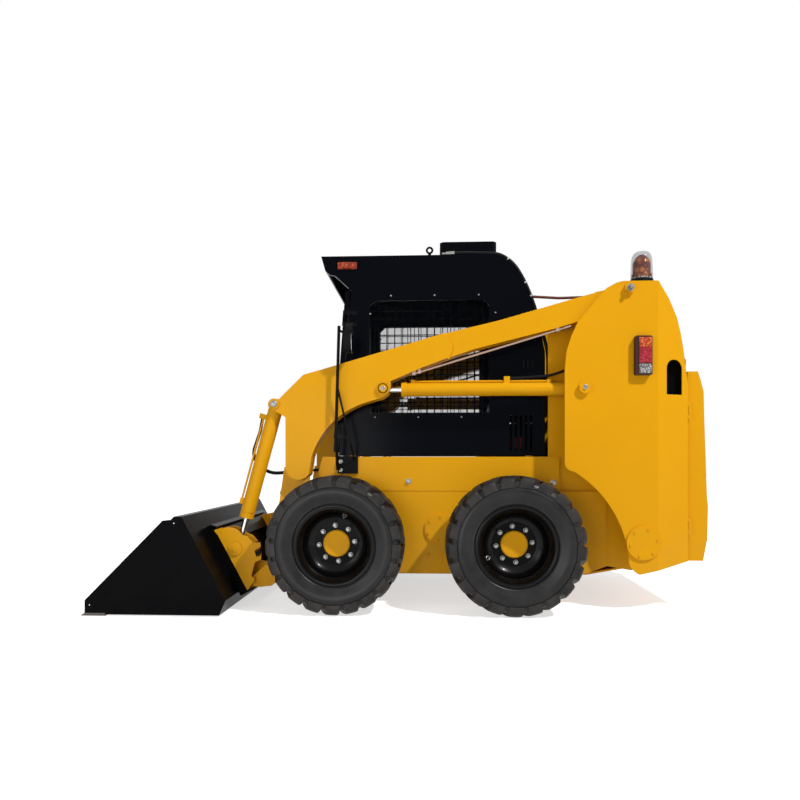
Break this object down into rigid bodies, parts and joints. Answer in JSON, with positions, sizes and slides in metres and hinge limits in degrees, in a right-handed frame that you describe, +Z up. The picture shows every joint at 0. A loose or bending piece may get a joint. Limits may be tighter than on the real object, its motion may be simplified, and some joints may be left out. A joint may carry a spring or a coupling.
{
  "type": "skid steer loader",
  "caption": "Compact skid steer loader with a caged cab, rear-pivoted lift arms, quick-attach carrier and a low-profile earth bucket on lugged tyres.",
  "frame": {"origin": "middle of the outline on the ground, under the loader", "axes": "+X forward to the bucket, +Y to the driver's left, +Z up"},
  "size_m": [3.528, 1.7, 2.2075],
  "materials": {
    "yellow_paint": "gloss",
    "black_paint": "satin",
    "tyre_rubber": "matte",
    "rod_chrome": "polished",
    "pin_steel": "satin",
    "worn_steel": "worn",
    "glass": "gloss",
    "black_plastic": "matte",
    "lamp_plastic": "gloss",
    "amber_plastic": "gloss",
    "hose_rubber": "matte",
    "cast_engine": "matte"
  },
  "bodies": {
    "chassis": {"chain_cases": "yellow_paint", "main_frame": "yellow_paint", "side_rails": "yellow_paint", "towers": "yellow_paint", "pivot_pins": "pin_steel", "engine_block": "cast_engine", "radiator": "black_plastic", "rear_hood": "black_paint", "cab_sides": "black_paint", "cab_roof": "black_paint", "cab_rear_panel": "black_paint", "cab_front_frame": "black_paint", "window_guards": "black_paint", "cab_glass": "glass", "seat_box": "black_plastic", "seat": "black_plastic", "controls": "black_plastic", "lap_bar": "black_paint", "climate_unit": "black_paint", "lifting_eyes": "black_paint", "lamps": "lamp_plastic", "beacon": "amber_plastic", "mirrors": "black_plastic", "door_hinges": "black_paint", "wiring_conduit": "hose_rubber"},
    "wheel_front_left": {"tyre_front_left": "tyre_rubber", "rim_front_left": "black_paint", "hub_front_left": "yellow_paint"},
    "wheel_front_right": {"tyre_front_right": "tyre_rubber", "rim_front_right": "black_paint", "hub_front_right": "yellow_paint"},
    "wheel_rear_left": {"tyre_rear_left": "tyre_rubber", "rim_rear_left": "black_paint", "hub_rear_left": "yellow_paint"},
    "wheel_rear_right": {"tyre_rear_right": "tyre_rubber", "rim_rear_right": "black_paint", "hub_rear_right": "yellow_paint"},
    "lift_arm": {"lift_arms": "yellow_paint", "arm_cross_tube": "yellow_paint", "tilt_hoses": "hose_rubber", "arm_pipes": "pin_steel"},
    "lift_barrel": {"lift_barrels": "yellow_paint", "lift_hoses": "hose_rubber"},
    "lift_rod": {"lift_rods": "rod_chrome"},
    "tilt_barrel": {"tilt_barrels": "yellow_paint"},
    "tilt_rod": {"tilt_rods": "rod_chrome"},
    "tool": {"carrier": "yellow_paint", "carrier_levers": "black_paint", "bucket": "black_paint", "cutting_edge": "worn_steel"},
    "engine_door": {"rear_door": "yellow_paint"},
    "cab_door": {"front_door": "black_paint", "door_glass": "glass"}
  },
  "joints": [
    {"name": "spin_front_left", "type": "hinge", "parent": "chassis", "child": "wheel_front_left", "pos_m": [0.365, 0.693, 0.3865], "axis": [0, 1, 0], "continuous": true},
    {"name": "spin_front_right", "type": "hinge", "parent": "chassis", "child": "wheel_front_right", "pos_m": [0.365, -0.693, 0.3865], "axis": [0, 1, 0], "continuous": true},
    {"name": "spin_rear_left", "type": "hinge", "parent": "chassis", "child": "wheel_rear_left", "pos_m": [-0.635, 0.693, 0.3865], "axis": [0, 1, 0], "continuous": true},
    {"name": "spin_rear_right", "type": "hinge", "parent": "chassis", "child": "wheel_rear_right", "pos_m": [-0.635, -0.693, 0.3865], "axis": [0, 1, 0], "continuous": true},
    {"name": "arm_lift", "type": "hinge", "parent": "chassis", "child": "lift_arm", "pos_m": [-1.287, 0, 1.8275], "axis": [0, -1, 0], "range_deg": [0, 60]},
    {"name": "lift_barrel_swing", "type": "hinge", "parent": "chassis", "child": "lift_barrel", "pos_m": [-1.038, 0, 1.2705], "axis": [0, -1, 0], "range_deg": [0, 57.98]},
    {"name": "lift_rod_slide", "type": "slide", "parent": "lift_barrel", "child": "lift_rod", "axis": [1, 0, 0.0009], "range_m": [0, 0.6085]},
    {"name": "bucket_tilt", "type": "hinge", "parent": "lift_arm", "child": "tool", "pos_m": [0.785, 0, 0.182], "axis": [0, -1, 0], "range_deg": [-90, 18]},
    {"name": "tilt_barrel_swing", "type": "hinge", "parent": "lift_arm", "child": "tilt_barrel", "pos_m": [0.741, 0, 1.1845], "axis": [0, -1, 0], "range_deg": [-2.75, 0.59]},
    {"name": "tilt_rod_slide", "type": "slide", "parent": "tilt_barrel", "child": "tilt_rod", "axis": [0.2637, 0, -0.9646], "range_m": [-0.0657, 0.3265]},
    {"name": "cab_door_swing", "type": "hinge", "parent": "chassis", "child": "cab_door", "pos_m": [0.41692, 0.434, 0.88772], "axis": [-0.074, 0, 0.9973], "range_deg": [0, 90]},
    {"name": "engine_door_swing", "type": "hinge", "parent": "chassis", "child": "engine_door", "pos_m": [-1.651, 0.534, 0.8125], "axis": [0, 0, -1], "range_deg": [0, 100]}
  ],
  "couplings": [
    {"joint": "lift_barrel_swing", "follows": "arm_lift", "ratio": 0.9655},
    {"joint": "lift_rod_slide", "follows": "arm_lift", "m_per_rad": 0.58057},
    {"joint": "tilt_barrel_swing", "follows": "bucket_tilt", "ratio": 0.03},
    {"joint": "tilt_rod_slide", "follows": "bucket_tilt", "m_per_rad": -0.20753}
  ]
}
